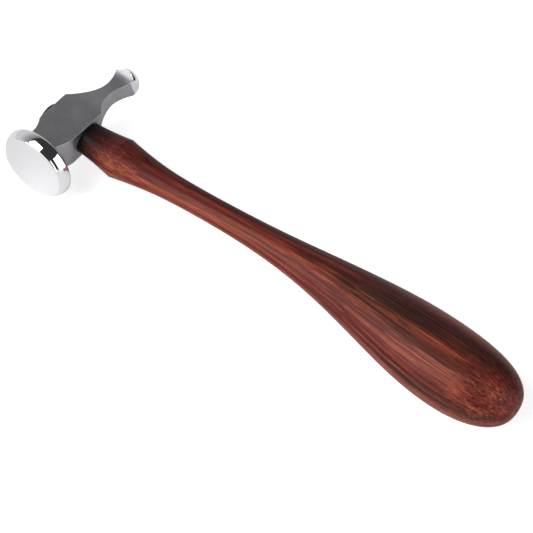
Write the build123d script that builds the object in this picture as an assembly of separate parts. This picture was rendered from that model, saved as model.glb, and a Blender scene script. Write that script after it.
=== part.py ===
from build123d import *
import math
import os

# A chasing hammer with a ball peen. All sizes are in millimetres.
# The origin is the centre of the striking face. +X points out of the face,
# +Y runs along the handle to its butt, and +Z is square to the flat cheeks.
# "Behind" is a distance from the striking face along -X. The crown is the -Y
# side of the head, where the tenon shows, and the underside is the +Y side.

# Striking disc and the polished bell behind it
face_radius = 14.7
face_edge_round = 0.8
disc_radius = 16.0
disc_widest_behind = 4.5
disc_back_behind = 6.0
disc_back_radius = 14.8
disc_side_bulge = 0.25
bell_waist_behind = 9.2
bell_waist_radius = 8.9
bell_throat_further = 1.5
bell_throat_narrower = 2.6
bell_root_behind = 13.0
bell_root_radius = 4.6

# Eye: an oval through the head, widest at the underside, tightest inside, and
# opening a little again at the crown so that the wedges lock the tenon
eye_behind = 27.0
eye_length = 14.4
eye_width = 12.9
eye_inner_squeeze = 1.4
eye_crown_squeeze = 0.8
eye_crown_shift = 1.0
tenon_clearance = 0.0
tenon_proud = 2.4
tenon_end_bevel = 1.0

# Head body: the walls around the eye, and the waist in front of it
crown_height = 10.9
underside_depth = 7.1
cheek_wall = 1.25
crown_front_wall = 2.1
crown_rear_wall = 0.2
underside_front_wall = 1.0
underside_rear_wall = 1.5
cheek_rear_cutback = 2.4
waist_behind = 11.8
waist_crown = 8.6
waist_underside = 5.2
waist_crown_rise = 1.6
waist_underside_fall = 1.4
edge_round = 0.3

# Peen arm and ball
ball_behind = 58.9
ball_radius = 6.85
slimmest_before_ball = 6.9
arm_crown = 3.4
arm_underside = 1.6
arm_half = 4.2
block_half = 4.6
crown_scoop_share = 0.24
crown_scoop_height_share = 0.48
underside_scoop_share = 0.4
underside_scoop_height_share = 0.27
crown_slimmest_further = 1.5
underside_slimmest_nearer = 2.0
cheek_slimmest_nearer = 1.0

# How the arm's facets open out into the ball: pairs of a distance behind the
# ball's centre and a growth beyond block_half, for the crown and underside
# facets and for the two facets in line with the cheeks
flare_steps = ((-0.7, -0.5), (1.1, 0.0), (2.6, 0.8))
cheek_flare_steps = ((-0.9, -0.2), (0.9, 0.5), (2.1, 1.25))
flare_end_growth = 1.5

# Handle, as distances from the head's axis and full widths along X
handle_length = 217.2
shoulder_at = 24.4
shoulder_width = 18.5
neck_at = 60.0
neck_width = 11.3
bulb_before_butt = 35.2
bulb_width = 34.4
section_flatness = 0.9
root_hollow = 1.5
shoulder_hollow = 2.1
bulb_swell_delay = 1.4
butt_roundness = 2.45
butt_flat = 0.02
grip_bow = 4.3
bow_peak_at = 116.0
bow_end_before_butt = 12.2
bow_delay = 1.25
butt_lean = -0.5
grip_stations = 9
butt_stations = 7

# Wedges in the tenon
wood_wedge_thickness = 2.0
wood_wedge_depth = 13.0
steel_wedge_thickness = 1.8
steel_wedge_width = 7.0
steel_wedge_depth = 9.0
wedge_tip_share = 0.35

# How far a cutting shape runs past the faces that it opens
cut_past = 3.0

# Values worked out from the sizes above
cheek_half = eye_width / 2 + cheek_wall
crown_front = eye_behind - eye_length / 2 - crown_front_wall
crown_rear = eye_behind + eye_length / 2 + crown_rear_wall
underside_front = eye_behind - eye_length / 2 - underside_front_wall
underside_rear = eye_behind + eye_length / 2 + underside_rear_wall
cheek_rear = crown_rear - cheek_rear_cutback
slimmest_behind = ball_behind - slimmest_before_ball
ball_end = ball_behind + ball_radius
bulb_at = handle_length - bulb_before_butt
bow_end_at = handle_length - bow_end_before_butt
crown_end = -(crown_height + tenon_proud)
eye_middle = (underside_depth - crown_height) / 2
crown_centre = -(eye_behind - eye_crown_shift)


def between(start, end, share):
    """The value that lies the given share of the way from start to end."""
    return start + (end - start) * share


def oval(y, x_radius, z_radius, centre_x):
    """An ellipse in the plane square to the handle at the height y."""
    plane = Plane(origin=(centre_x, y, 0), x_dir=(1, 0, 0), z_dir=(0, 1, 0))
    return plane * Ellipse(x_radius, z_radius)


def eye_oval(y, clearance):
    """The eye's section at y, made smaller all round by a clearance."""
    if y > eye_middle:
        share = (underside_depth - y) / (underside_depth - eye_middle)
        squeeze = between(0, eye_inner_squeeze, share)
        centre = between(-eye_behind, (crown_centre - eye_behind) / 2, share)
    else:
        share = (eye_middle - y) / (eye_middle + crown_height)
        squeeze = between(eye_inner_squeeze, eye_crown_squeeze, share)
        centre = between((crown_centre - eye_behind) / 2, crown_centre, share)
    less = squeeze + clearance
    return oval(y, eye_length / 2 - less, eye_width / 2 - less, centre)


def eye_solid(crown_reach, underside_reach, clearance):
    """The eye, or the tenon that fills it, between two distances along Y."""
    upper = loft([eye_oval(underside_reach, clearance), eye_oval(eye_middle, clearance)], ruled=True)
    lower = loft([eye_oval(eye_middle, clearance), eye_oval(crown_reach, clearance)], ruled=True)
    return upper + lower


def disc_and_bell():
    """The striking disc and its bell neck, turned about the head's axis."""
    with BuildSketch(Plane.XY) as half:
        with BuildLine():
            face = Line((0, 0), (0, face_radius - face_edge_round))
            edge = RadiusArc(face @ 1, (-face_edge_round, face_radius), -face_edge_round)
            side = ThreePointArc(
                edge @ 1,
                (-disc_widest_behind / 2, (face_radius + disc_radius) / 2 + disc_side_bulge),
                (-disc_widest_behind, disc_radius),
            )
            back_middle = -(disc_widest_behind + disc_back_behind) / 2 - disc_side_bulge
            back = ThreePointArc(
                side @ 1,
                (back_middle, (disc_radius + disc_back_radius) / 2 + disc_side_bulge),
                (-disc_back_behind, disc_back_radius),
            )
            bell = Spline(
                back @ 1,
                (-bell_waist_behind, bell_waist_radius),
                (-(bell_waist_behind + bell_throat_further), bell_waist_radius - bell_throat_narrower),
                (-bell_root_behind, bell_root_radius),
            )
            Polyline(bell @ 1, (-bell_root_behind, 0), (0, 0))
        make_face()
    return revolve(half.sketch, Axis.X, 360)


def flare_points(side, steps):
    """Points where an arm facet on one side (+1 or -1) opens out into the ball."""
    points = [(-(ball_behind + step), side * (block_half + growth)) for step, growth in steps]
    return points + [(-ball_end, side * (ball_radius + flare_end_growth))]


def plan_of_body():
    """The body seen square to its cheeks, with the crown on the -Y side."""
    crown_slimmest = slimmest_behind + crown_slimmest_further
    crown_scoop_at = between(crown_rear, crown_slimmest, crown_scoop_share)
    underside_slimmest = slimmest_behind - underside_slimmest_nearer
    underside_scoop_at = between(underside_rear, underside_slimmest, underside_scoop_share)
    with BuildSketch(Plane.XY) as plan:
        with BuildLine():
            crown_neck = Spline(
                (-disc_widest_behind, -(waist_crown + waist_crown_rise)),
                (-waist_behind, -waist_crown),
                (-crown_front, -crown_height),
            )
            crown_flat = Line(crown_neck @ 1, (-crown_rear, -crown_height))
            crown_arm = Spline(
                crown_flat @ 1,
                (-crown_scoop_at, -between(arm_crown, crown_height, crown_scoop_height_share)),
                (-crown_slimmest, -arm_crown),
                *flare_points(-1, flare_steps),
            )
            end = Line(crown_arm @ 1, flare_points(1, flare_steps)[-1])
            under_arm = Spline(
                *reversed(flare_points(1, flare_steps)),
                (-underside_slimmest, arm_underside),
                (-underside_scoop_at, between(arm_underside, underside_depth, underside_scoop_height_share)),
                (-underside_rear, underside_depth),
            )
            under_flat = Line(under_arm @ 1, (-underside_front, underside_depth))
            under_neck = Spline(
                under_flat @ 1,
                (-waist_behind, waist_underside),
                (-disc_widest_behind, waist_underside - waist_underside_fall),
                tangents=((1, 0), (1, 0)),
            )
            Line(under_neck @ 1, crown_neck @ 0)
        make_face()
    return plan.sketch


def side_of_body():
    """The upper half of the body seen along the handle, up to its flat cheek."""
    with BuildSketch(Plane.XZ) as side:
        with BuildLine():
            cheek = Line((-disc_widest_behind, cheek_half), (-cheek_rear, cheek_half))
            flare = flare_points(1, cheek_flare_steps)
            arm = Spline(
                cheek @ 1,
                (-(slimmest_behind - cheek_slimmest_nearer), arm_half),
                *flare,
                tangents=((-1, 0), (flare[-1][0] - flare[-2][0], flare[-1][1] - flare[-2][1])),
            )
            Polyline(arm @ 1, (-ball_end, 0), (-disc_widest_behind, 0), cheek @ 0)
        make_face()
    return side.sketch


def make_head():
    """The forging: striking disc, bell, cheeks and eye, peen arm and domed ball."""
    slab = extrude(plan_of_body(), amount=disc_radius, both=True)
    upper_half = extrude(side_of_body(), amount=2 * disc_radius, both=True)
    body = slab & (upper_half + upper_half.mirror(Plane.XY))
    body = fillet(body.edges().filter_by_position(Axis.X, -ball_end + edge_round, -disc_back_behind), edge_round)
    keep_length = ball_behind - disc_widest_behind / 2
    before_ball = Pos(-ball_behind + keep_length / 2, 0, 0) * Box(keep_length, 2 * disc_radius, 2 * disc_radius)
    ball = Pos(-ball_behind, 0, 0) * Sphere(ball_radius)
    body = (body & before_ball) + (body & ball)
    head = disc_and_bell() + body
    eye = eye_solid(-(crown_height + cut_past), underside_depth + cut_past, 0)
    return head - eye


def half_width(y):
    """Half the handle's width along X at the distance y from the head's axis."""
    if y <= neck_at:
        share = (neck_at - y) / (neck_at - shoulder_at)
        return (neck_width + (shoulder_width - neck_width) * share**shoulder_hollow) / 2
    if y <= bulb_at:
        share = ((y - neck_at) / (bulb_at - neck_at)) ** bulb_swell_delay
        smooth = share * share * (3 - 2 * share)
        return (neck_width + (bulb_width - neck_width) * smooth) / 2
    share = (y - bulb_at) / (handle_length - bulb_at)
    return bulb_width / 2 * (1 - share**butt_roundness) ** (1 / butt_roundness)


def centre_x(y):
    """Where the handle's bowed centre line stands along X at the distance y."""
    if y <= bow_peak_at:
        share = max(y - shoulder_at, 0) / (bow_peak_at - shoulder_at)
        lean = grip_bow * math.sin(share**bow_delay * math.pi / 2)
    else:
        share = min((y - bow_peak_at) / (bow_end_at - bow_peak_at), 1)
        lean = butt_lean + (grip_bow - butt_lean) * (1 + math.cos(math.pi * share)) / 2
    return -eye_behind - lean


def grip_oval(y):
    """The handle's section at the distance y, from the shoulder to the butt."""
    return oval(y, half_width(y), half_width(y) * section_flatness, centre_x(y))


def root_oval(share):
    """A section of the root, from the eye's oval at 0 to the shoulder's at 1."""
    swell = share**root_hollow
    x_radius = eye_length / 2 * (1 - swell) + shoulder_width / 2 * swell
    z_radius = eye_width / 2 * (1 - swell) + shoulder_width / 2 * section_flatness * swell
    y = underside_depth + (shoulder_at - underside_depth) * share
    return oval(y, x_radius, z_radius, -eye_behind)


def grip_heights():
    """Distances for the grip's sections, crowding together as the butt rounds off."""
    heights = []
    for i in range(grip_stations):
        heights.append(shoulder_at + (bulb_at - shoulder_at) * i / grip_stations)
    for i in range(butt_stations):
        turn = math.pi / 2 * i / butt_stations
        heights.append(bulb_at + (handle_length - bulb_at) * math.sin(turn) ** (2 / butt_roundness))
    heights.append(handle_length - butt_flat)
    return heights


def wedge_blade(thickness, width, depth):
    """A wedge lying along X, thick at the tenon's end face and thin at its tip."""
    tip = thickness * wedge_tip_share
    top = crown_end - cut_past
    foot = crown_end + depth
    with BuildSketch(Plane.YZ) as profile:
        with BuildLine():
            Polyline(
                (top, -thickness / 2),
                (foot, -tip / 2),
                (foot, tip / 2),
                (top, thickness / 2),
                close=True,
            )
        make_face()
    return extrude(profile.sketch, amount=width / 2, both=True)


def make_handle_and_wedges():
    """The handle with its kerf, and the two wedges that fill it."""
    tenon = eye_solid(crown_end, underside_depth, tenon_clearance)
    end_edges = tenon.faces().sort_by(Axis.Y)[0].edges()
    tenon = chamfer(end_edges, tenon_end_bevel)
    root = loft([root_oval(i / 3) for i in range(4)])
    grip = loft([grip_oval(y) for y in grip_heights()])
    wood_blade = Pos(crown_centre, 0, 0) * wedge_blade(wood_wedge_thickness, 2 * eye_length, wood_wedge_depth)
    steel_blade = wedge_blade(steel_wedge_thickness, steel_wedge_width, steel_wedge_depth).rotate(Axis.Y, 90)
    steel_blade = Pos(crown_centre, 0, 0) * steel_blade
    wooden_wedge = (tenon & wood_blade) - steel_blade
    steel_wedge = tenon & steel_blade
    handle = (tenon - wood_blade - steel_blade) + root + grip
    return handle, wooden_wedge, steel_wedge


os.makedirs("parts", exist_ok=True)
handle, wooden_wedge, steel_wedge = make_handle_and_wedges()
nodes = {
    "head": make_head(),
    "handle": handle,
    "wooden_wedge": wooden_wedge,
    "steel_wedge": steel_wedge,
}
for name, solid in nodes.items():
    export_step(solid, f"parts/{name}.step")
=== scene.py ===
import bpy
import math
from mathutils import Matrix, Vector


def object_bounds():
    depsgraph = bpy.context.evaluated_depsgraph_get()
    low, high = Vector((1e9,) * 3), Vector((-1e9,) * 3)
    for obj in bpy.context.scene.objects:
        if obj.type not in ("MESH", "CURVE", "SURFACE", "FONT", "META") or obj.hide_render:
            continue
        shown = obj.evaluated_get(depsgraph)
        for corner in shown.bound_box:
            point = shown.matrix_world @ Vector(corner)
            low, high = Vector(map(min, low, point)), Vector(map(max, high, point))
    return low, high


# A ball peen chasing hammer lying on its side. Metres throughout.
# +X points out of the striking face, +Y runs down the handle to the butt,
# +Z stands square to the upper cheek.

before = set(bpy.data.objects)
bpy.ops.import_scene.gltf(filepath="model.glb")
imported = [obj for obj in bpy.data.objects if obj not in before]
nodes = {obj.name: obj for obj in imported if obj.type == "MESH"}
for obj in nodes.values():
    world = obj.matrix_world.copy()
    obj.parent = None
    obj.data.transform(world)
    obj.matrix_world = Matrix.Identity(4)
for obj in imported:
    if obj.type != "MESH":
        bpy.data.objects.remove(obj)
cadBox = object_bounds()
print("frame loaded:", ", ".join(sorted(nodes)))


# Helpers that build node materials. A value given to a node may be a plain
# number or color, or the output of another node.

def newMaterial(name):
    material = bpy.data.materials.new(name)
    material.use_nodes = True
    tree = material.node_tree
    tree.nodes.clear()
    output = tree.nodes.new("ShaderNodeOutputMaterial")
    shader = tree.nodes.new("ShaderNodeBsdfPrincipled")
    tree.links.new(shader.outputs["BSDF"], output.inputs["Surface"])
    return material, tree, shader


def setInputs(tree, node, values):
    for name, value in values.items():
        if isinstance(value, bpy.types.NodeSocket):
            tree.links.new(value, node.inputs[name])
        else:
            node.inputs[name].default_value = value


def addNode(tree, kind, settings=None, inputs=None):
    node = tree.nodes.new(kind)
    for name, value in (settings or {}).items():
        setattr(node, name, value)
    setInputs(tree, node, inputs or {})
    return node


def mathNode(tree, operation, first, second=0.0, third=0.0):
    node = addNode(tree, "ShaderNodeMath", {"operation": operation}, {0: first, 1: second, 2: third})
    return node.outputs[0]


def vectorNode(tree, operation, first, second=(0.0, 0.0, 0.0)):
    return addNode(tree, "ShaderNodeVectorMath", {"operation": operation}, {0: first, 1: second})


def splitPoint(tree, point):
    parts = addNode(tree, "ShaderNodeSeparateXYZ", None, {"Vector": point})
    return [parts.outputs[axis] for axis in "XYZ"]


def wanderAbout(tree, noise, middle, width):
    # a value that wanders evenly to both sides of its middle
    return mathNode(tree, "MULTIPLY_ADD", noise, width, middle - width / 2)


def rangeNode(tree, value, fromRange, toRange):
    node = addNode(tree, "ShaderNodeMapRange", None, {
        "Value": value,
        "From Min": fromRange[0],
        "From Max": fromRange[1],
        "To Min": toRange[0],
        "To Max": toRange[1],
    })
    return node.outputs["Result"]


def grey(value):
    return (value, value, value, 1.0)


def rampNode(tree, factor, stops, interpolation="LINEAR"):
    # each stop is a position and a color, or a position and a grey value
    node = addNode(tree, "ShaderNodeValToRGB", None, {"Fac": factor})
    ramp = node.color_ramp
    ramp.interpolation = interpolation
    while len(ramp.elements) > 1:
        ramp.elements.remove(ramp.elements[0])
    for index, (position, color) in enumerate(stops):
        element = ramp.elements.new(position) if index else ramp.elements[0]
        element.position = position
        element.color = grey(color) if isinstance(color, float) else color
    return node.outputs["Color"]


def mixColor(tree, factor, first, second, blend="MIX"):
    settings = {"data_type": "RGBA", "blend_type": blend}
    return addNode(tree, "ShaderNodeMix", settings, {0: factor, 6: first, 7: second}).outputs[2]


def mixValue(tree, factor, first, second):
    settings = {"data_type": "FLOAT"}
    return addNode(tree, "ShaderNodeMix", settings, {0: factor, 2: first, 3: second}).outputs[0]


def objectPoint(tree, scale=(1, 1, 1), location=(0, 0, 0)):
    coordinates = addNode(tree, "ShaderNodeTexCoord").outputs["Object"]
    inputs = {"Vector": coordinates, "Scale": scale, "Location": location}
    return addNode(tree, "ShaderNodeMapping", None, inputs).outputs["Vector"]


def noiseNode(tree, vector, scale, detail=4.0, roughness=0.55, distortion=0.0):
    node = addNode(tree, "ShaderNodeTexNoise", None, {
        "Vector": vector,
        "Scale": scale,
        "Detail": detail,
        "Roughness": roughness,
        "Distortion": distortion,
    })
    return node.outputs["Fac"]


def bumpNode(tree, height, strength, distance):
    inputs = {"Height": height, "Strength": strength, "Distance": distance}
    return addNode(tree, "ShaderNodeBump", None, inputs).outputs["Normal"]


def dressNode(name, material):
    piece = nodes[name]
    piece.data.materials.clear()
    piece.data.materials.append(material)


# The forging: satin body, mirror-polished face, bell and ball.
# A noise is given as its scale, detail, roughness and distortion, of which the last may be left out.

steel = {
    "satinColor": (0.47, 0.465, 0.515, 1.0),
    "satinWarm": (0.405, 0.40, 0.41, 1.0),
    "satinRoughness": 0.46,
    "satinSpread": 0.14,        # how much the satin's roughness varies
    "mottleNoise": (190.0, 5.0, 0.6),
    "mottleStops": ((0.32, 0.0), (0.68, 1.0)),
    "grindNoise": (4200.0, 3.0, 0.7),
    "grindStrength": 0.35,
    "grindDepth": 0.00004,
    "polishColor": (0.95, 0.95, 0.97, 1.0),
    "polishRoughness": 0.03,
    "polishedTo": 0.0092,       # how far behind the face the polish reaches
    "polishWander": 0.0003,     # how far its edge wanders
    "wanderNoise": (300.0, 2.0),
    "ballCentre": (-0.0589, 0.0, 0.0),
    "ballRadius": 0.00685,
    "ballSkin": 0.00007,        # this close under the ball's radius still counts as ball
    "ballPolishedFrom": 0.0596,
    "polishSlant": 0.28,        # the polish starts further back towards the lower cheek
}


def headMaterial():
    material, tree, shader = newMaterial("forgedSteel")
    point = objectPoint(tree)
    x, y, z = splitPoint(tree, point)

    # polished where the face and bell were buffed, with a slightly uneven edge
    wander = noiseNode(tree, point, *steel["wanderNoise"])
    edge = wanderAbout(tree, wander, -steel["polishedTo"], steel["polishWander"])
    front = mathNode(tree, "GREATER_THAN", x, edge)

    # the ball and the end of the arm's underside are polished, from a slanting line on
    fromCentre = vectorNode(tree, "DISTANCE", point, steel["ballCentre"]).outputs["Value"]
    onBall = mathNode(tree, "GREATER_THAN", fromCentre, steel["ballRadius"] - steel["ballSkin"])
    onUnderside = mathNode(tree, "GREATER_THAN", y, mathNode(tree, "ABSOLUTE", z))
    ballEdge = mathNode(tree, "MULTIPLY_ADD", z, steel["polishSlant"], -steel["ballPolishedFrom"])
    pastEdge = mathNode(tree, "LESS_THAN", x, ballEdge)
    back = mathNode(tree, "MULTIPLY", mathNode(tree, "MAXIMUM", onBall, onUnderside), pastEdge)
    polish = mathNode(tree, "MAXIMUM", front, back)

    # the satin is mottled in color and roughness, and finely ground
    mottle = noiseNode(tree, point, *steel["mottleNoise"])
    patch = rampNode(tree, mottle, steel["mottleStops"])
    satin = mixColor(tree, patch, steel["satinWarm"], steel["satinColor"])
    satinRough = wanderAbout(tree, mottle, steel["satinRoughness"], steel["satinSpread"])
    grind = noiseNode(tree, point, *steel["grindNoise"])
    height = mathNode(tree, "MULTIPLY", grind, mathNode(tree, "SUBTRACT", 1.0, polish))

    setInputs(tree, shader, {
        "Base Color": mixColor(tree, polish, satin, steel["polishColor"]),
        "Roughness": mixValue(tree, polish, satinRough, steel["polishRoughness"]),
        "Normal": bumpNode(tree, height, steel["grindStrength"], steel["grindDepth"]),
        "Metallic": 1.0,
    })
    return material


dressNode("head", headMaterial())
print("head finished: satin steel with polished face and ball")


# The handle: oiled dark red hardwood

wood = {
    "red": (0.158, 0.027, 0.021, 1.0),
    "orange": (0.380, 0.090, 0.046, 1.0),
    "brown": (0.075, 0.019, 0.017, 1.0),
    "chocolate": (0.034, 0.021, 0.016, 1.0),
    # near black for the tenon, and painted shade on the handle just past the head
    "darkTenonAndShade": (0.004, 0.0035, 0.0035, 1.0),
    "roughness": 0.38,
    "roughnessSpread": -0.14,   # the paler fibres are the smoother ones
    "gloss": 0.12,
    "darkTenonAndShadeTo": 0.0125,          # the darkened wood reaches this far from the head's axis
    "darkTenonAndShadeFade": (0.004, 0.009),        # and fades this far before and after
    "darkTenonAndShadeWander": 0.008,
    # the handle's swell is measured in slices at these places along it
    "rootSlice": 0.012,
    "slices": (0.040, 0.060, 0.080, 0.100, 0.120, 0.140, 0.160, 0.175),
    "fullestSlice": 0.190,      # about where the bulb is widest
    "buttSlice": 0.208,
    "sliceReach": 0.0012,       # a slice takes in this much to both sides of its place
    "fullScale": 0.040,         # no centre line or half width comes to more than this
    "grainRadius": 0.013,
    "bandStretch": 0.030,       # the smaller this is, the longer the grain is drawn out
    "fibreStretch": 0.010,
    "broadNoise": (75.0, 3.0, 0.5, 0.5),
    "bandNoise": (330.0, 4.0, 0.6, 0.4),
    "fibreNoise": (1500.0, 5.0, 0.7),
    "poreNoise": (3200.0, 3.0, 0.6),
    "broadShare": 0.50,
    "bandShare": 0.32,
    "fibreShare": 0.18,
    "toneStops": ((0.36, "chocolate"), (0.44, "brown"), (0.52, "red"), (0.64, "orange")),
    # painted light: the wood is painted paler on the striking face's side, where the face-side softbox falls
    "faceSidePaintedLight": ((-0.004, 0.012), (-0.015, 0.100)),    # across the grain, and the tone it adds
    "rootDarker": ((0.020, 0.060), (-0.045, 0.0)),      # down the handle, and the tone it adds
    "poreStops": ((0.34, 0.45), (0.46, 1.0)),
    "poreDepth": 0.00008,
    "poreStrength": 0.25,
    "fibreStops": ((0.36, 0.55), (0.64, 1.35)),
    "streaks": (                # centre, reach, strength and tone of each streak on the bulb
        ((-0.0385, 0.182, 0.0090), (0.0060, 0.038, 0.0085), 0.60, "orange"),
        ((-0.0282, 0.155, 0.0130), (0.0064, 0.054, 0.0140), 0.80, "chocolate"),
        ((-0.0122, 0.195, 0.0022), (0.0052, 0.042, 0.0050), 0.60, "chocolate"),
        ((-0.0200, 0.176, 0.0125), (0.0046, 0.048, 0.0090), 0.40, "chocolate"),
    ),
    "streakRagged": (1.8, 0.6),         # how much the fibres and the bands break up its edge
    "streakEdge": (0.40, 1.05),         # full inside the first share of its reach, gone past the second
}


def sliceAt(piece, place):
    # the middle and half width along X of a thin slice across the handle
    across = [v.co.x for v in piece.data.vertices if abs(v.co.y - place) < wood["sliceReach"]]
    return (max(across) + min(across)) / 2, (max(across) - min(across)) / 2


def swellStops(piece):
    # the first stop repeats the root's slice, and at the butt the grain keeps the bulb's full width
    butt = max(v.co.y for v in piece.data.vertices)
    shape = [(0.0, *sliceAt(piece, wood["rootSlice"]))]
    shape += [(place, *sliceAt(piece, place)) for place in wood["slices"]]
    shape.append((butt, sliceAt(piece, wood["buttSlice"])[0], sliceAt(piece, wood["fullestSlice"])[1]))
    full = wood["fullScale"]
    stops = [(place / butt, (half / full, -middle / full, 0.0, 1.0)) for place, middle, half in shape]
    return butt, stops


def grainPoint(tree, piece, x, y, z):
    # the grain follows the handle's swell: each point is measured from the bowed
    # centre line, in shares of the half width there
    butt, stops = swellStops(piece)
    run = mathNode(tree, "DIVIDE", y, butt)
    swell = addNode(tree, "ShaderNodeSeparateColor", None, {"Color": rampNode(tree, run, stops, "CARDINAL")})
    half = mathNode(tree, "MULTIPLY", swell.outputs["Red"], wood["fullScale"])
    fromMiddle = mathNode(tree, "MULTIPLY_ADD", swell.outputs["Green"], wood["fullScale"], x)
    across, through = (
        mathNode(tree, "MULTIPLY", mathNode(tree, "DIVIDE", offset, half), wood["grainRadius"])
        for offset in (fromMiddle, z)
    )
    grain = addNode(tree, "ShaderNodeCombineXYZ", None, {"X": across, "Y": y, "Z": through})
    return grain.outputs["Vector"], across


def addStreaks(tree, color, fibre, bands):
    fineTears, broadTears = wood["streakRagged"]
    ragged = wanderAbout(tree, fibre, 0, fineTears)
    ragged = mathNode(tree, "ADD", ragged, wanderAbout(tree, bands, 0, broadTears))
    full, gone = wood["streakEdge"]
    for centre, reach, strength, tone in wood["streaks"]:
        scale = tuple(1 / r for r in reach)
        shift = tuple(-c / r for c, r in zip(centre, reach))
        away = vectorNode(tree, "LENGTH", objectPoint(tree, scale, shift)).outputs["Value"]
        share = rampNode(tree, mathNode(tree, "ADD", away, ragged), [(full, strength), (gone, 0.0)])
        color = mixColor(tree, share, color, wood[tone])
    return color


def handleMaterial(piece):
    material, tree, shader = newMaterial("oiledRedwood")
    x, y, z = splitPoint(tree, objectPoint(tree))
    grain, across = grainPoint(tree, piece, x, y, z)
    along, alongFine = (
        vectorNode(tree, "MULTIPLY", grain, (1.0, stretch, 1.0)).outputs["Vector"]
        for stretch in (wood["bandStretch"], wood["fibreStretch"])
    )
    broad = noiseNode(tree, along, *wood["broadNoise"])
    bands = noiseNode(tree, along, *wood["bandNoise"])
    fibre = noiseNode(tree, alongFine, *wood["fibreNoise"])
    fleck = noiseNode(tree, along, *wood["poreNoise"])

    # growth bands run lengthwise, from chocolate through red to orange
    tone = mathNode(tree, "MULTIPLY", broad, wood["broadShare"])
    tone = mathNode(tree, "MULTIPLY_ADD", bands, wood["bandShare"], tone)
    tone = mathNode(tree, "MULTIPLY_ADD", fibre, wood["fibreShare"], tone)

    # they are painted paler on the striking face's side, a painted light where the face-side softbox falls,
    # and darker towards the head
    tone = mathNode(tree, "ADD", tone, rangeNode(tree, across, *wood["faceSidePaintedLight"]))
    tone = mathNode(tree, "ADD", tone, rangeNode(tree, y, *wood["rootDarker"]))
    color = rampNode(tree, tone, [(position, wood[name]) for position, name in wood["toneStops"]])
    color = addStreaks(tree, color, fibre, bands)

    # pores show as short dark flecks, and the fibres as fine lines
    color = mixColor(tree, 1.0, color, rampNode(tree, fleck, wood["poreStops"]), "MULTIPLY")
    color = mixColor(tree, 1.0, color, rampNode(tree, fibre, wood["fibreStops"]), "MULTIPLY")

    # the tenon is dark, and the first few millimetres past the head carry painted shade where the handle
    # meets the head
    # this mask paints shade on the handle where it leaves the head, and darkens the tenon
    before, after = wood["darkTenonAndShadeFade"]
    fromHead = mathNode(tree, "ADD", y, wanderAbout(tree, bands, 0, wood["darkTenonAndShadeWander"]))
    darkTenonAndShade = rangeNode(tree, fromHead, (wood["darkTenonAndShadeTo"] - before, wood["darkTenonAndShadeTo"] + after), (1.0, 0.0))

    setInputs(tree, shader, {
        "Base Color": mixColor(tree, darkTenonAndShade, color, wood["darkTenonAndShade"]),
        "Roughness": wanderAbout(tree, fibre, wood["roughness"], wood["roughnessSpread"]),
        "Normal": bumpNode(tree, fleck, wood["poreStrength"], wood["poreDepth"]),
        "Specular IOR Level": wood["gloss"],
    })
    return material


dressNode("handle", handleMaterial(nodes["handle"]))
print("handle finished: oiled red hardwood")


# The two wedges in the tenon's end

wedgeWood = {
    "grainStops": ((0.3, (0.12, 0.060, 0.030, 1.0)), (0.7, (0.24, 0.13, 0.065, 1.0))),
    "grainNoise": (900.0, 4.0),
    "grainStretch": 0.08,
    "roughness": 0.55,
}

wedgeSteel = {
    "greyStops": ((0.3, 0.22), (0.7, 0.36)),
    "greyNoise": (1500.0, 3.0),
    "roughness": 0.4,
}


def wedgeWoodMaterial():
    material, tree, shader = newMaterial("paleWedgeWood")
    grain = noiseNode(tree, objectPoint(tree, (1, wedgeWood["grainStretch"], 1)), *wedgeWood["grainNoise"])
    color = rampNode(tree, grain, wedgeWood["grainStops"])
    setInputs(tree, shader, {"Base Color": color, "Roughness": wedgeWood["roughness"]})
    return material


def wedgeSteelMaterial():
    material, tree, shader = newMaterial("wedgeSteel")
    cloud = noiseNode(tree, objectPoint(tree), *wedgeSteel["greyNoise"])
    color = rampNode(tree, cloud, wedgeSteel["greyStops"])
    setInputs(tree, shader, {"Base Color": color, "Roughness": wedgeSteel["roughness"], "Metallic": 1.0})
    return material


dressNode("wooden_wedge", wedgeWoodMaterial())
dressNode("steel_wedge", wedgeSteelMaterial())
print("wedges finished")


# Floor, light and camera

studio = {
    "floorGap": 0.0001,         # the floor lies this far under the head's rim
    "floorSize": 8.0,
    "floorCentre": (0.0, 0.1),
    "floorColor": grey(0.80),
    "floorRoughness": 0.9,
    "floorGlow": 0.15,
    "floorBurnOut": 0.55,       # bleaches the floor itself, not its reflections
    "wallFacing": (-0.31, -0.90, -0.45),        # the room is pale this way and dark the other
    "roomStops": ((0.0, 0.035), (0.20, 0.27), (0.75, 0.60)),
    "backdrop": 0.95,           # what the camera sees in place of the room
    "cameraAt": (0.38295, 0.33956, 0.63761),
    "cameraTurn": (36.0590, -4.2636, 126.2091),
    "lens": 135.08,
    "sensor": 36.0,
    "clip": (0.01, 50.0),
}

# turn is the compass angle from +X towards +Y, height the angle above the floor
softboxes = {
    "softboxButt": {"turn": 93, "height": 21, "distance": 1.7, "size": (2.0, 1.3), "glow": 1.75},
    "softboxFace": {"turn": -24, "height": 36, "distance": 1.7, "size": (1.1, 2.0), "glow": 4.6},
}


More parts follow.
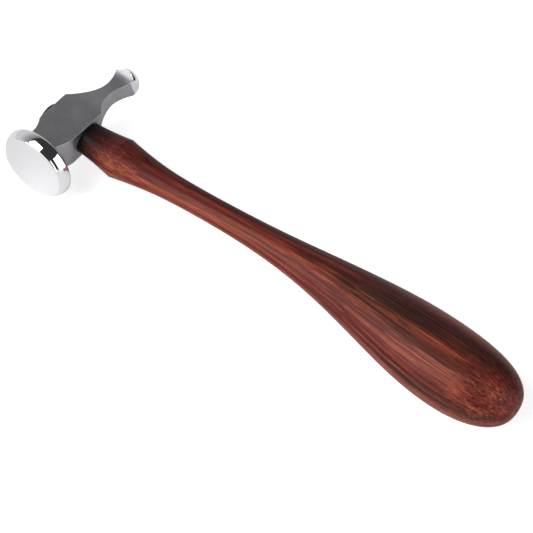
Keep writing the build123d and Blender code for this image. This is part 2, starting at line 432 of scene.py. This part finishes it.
def addFloor():
    height = cadBox[0][2] - studio["floorGap"]
    bpy.ops.object.select_all(action="DESELECT")
    bpy.ops.mesh.primitive_plane_add(size=studio["floorSize"], location=(*studio["floorCentre"], height))
    floor = bpy.context.object
    floor.name = "floor"
    material, tree, shader = newMaterial("paleFloor")
    seen = addNode(tree, "ShaderNodeLightPath").outputs["Is Camera Ray"]
    glow = mathNode(tree, "MULTIPLY_ADD", seen, studio["floorBurnOut"], studio["floorGlow"])
    setInputs(tree, shader, {
        "Base Color": studio["floorColor"],
        "Roughness": studio["floorRoughness"],
        "Specular IOR Level": 0.0,
        "Emission Color": grey(1.0),
        "Emission Strength": glow,
    })
    floor.data.materials.append(material)


def addRoom():
    world = bpy.data.worlds.new("studioWorld")
    bpy.context.scene.world = world
    world.use_nodes = True
    tree = world.node_tree
    direction = addNode(tree, "ShaderNodeTexCoord").outputs["Generated"]
    facing = vectorNode(tree, "DOT_PRODUCT", direction, studio["wallFacing"]).outputs["Value"]
    room = rampNode(tree, facing, studio["roomStops"], "EASE")
    seen = addNode(tree, "ShaderNodeLightPath").outputs["Is Camera Ray"]
    color = mixColor(tree, seen, room, grey(studio["backdrop"]))
    tree.links.new(color, tree.nodes["Background"].inputs["Color"])


def addSoftbox(name, box):
    turn, height = math.radians(box["turn"]), math.radians(box["height"])
    flat = math.cos(height)
    toward = Vector((math.cos(turn) * flat, math.sin(turn) * flat, math.sin(height)))
    bpy.ops.object.light_add(type="AREA", location=toward * box["distance"])
    lamp = bpy.context.object
    lamp.name = name
    lamp.data.shape = "RECTANGLE"
    lamp.data.size, lamp.data.size_y = box["size"]
    lamp.data.energy = box["glow"] * math.pi * math.prod(box["size"])
    lamp.rotation_euler = toward.to_track_quat("Z", "Y").to_euler()
    lamp.visible_camera = False


def addCamera():
    data = bpy.data.cameras.new("camera")
    camera = bpy.data.objects.new("camera", data)
    bpy.context.scene.collection.objects.link(camera)
    camera.location = studio["cameraAt"]
    camera.rotation_euler = [math.radians(angle) for angle in studio["cameraTurn"]]
    data.lens = studio["lens"]
    data.sensor_width = studio["sensor"]
    data.clip_start, data.clip_end = studio["clip"]
    bpy.context.scene.camera = camera
    bpy.context.scene.view_settings.view_transform = "Standard"


addFloor()
addRoom()
for name, box in softboxes.items():
    addSoftbox(name, box)
addCamera()
print("floor, light and camera in place")
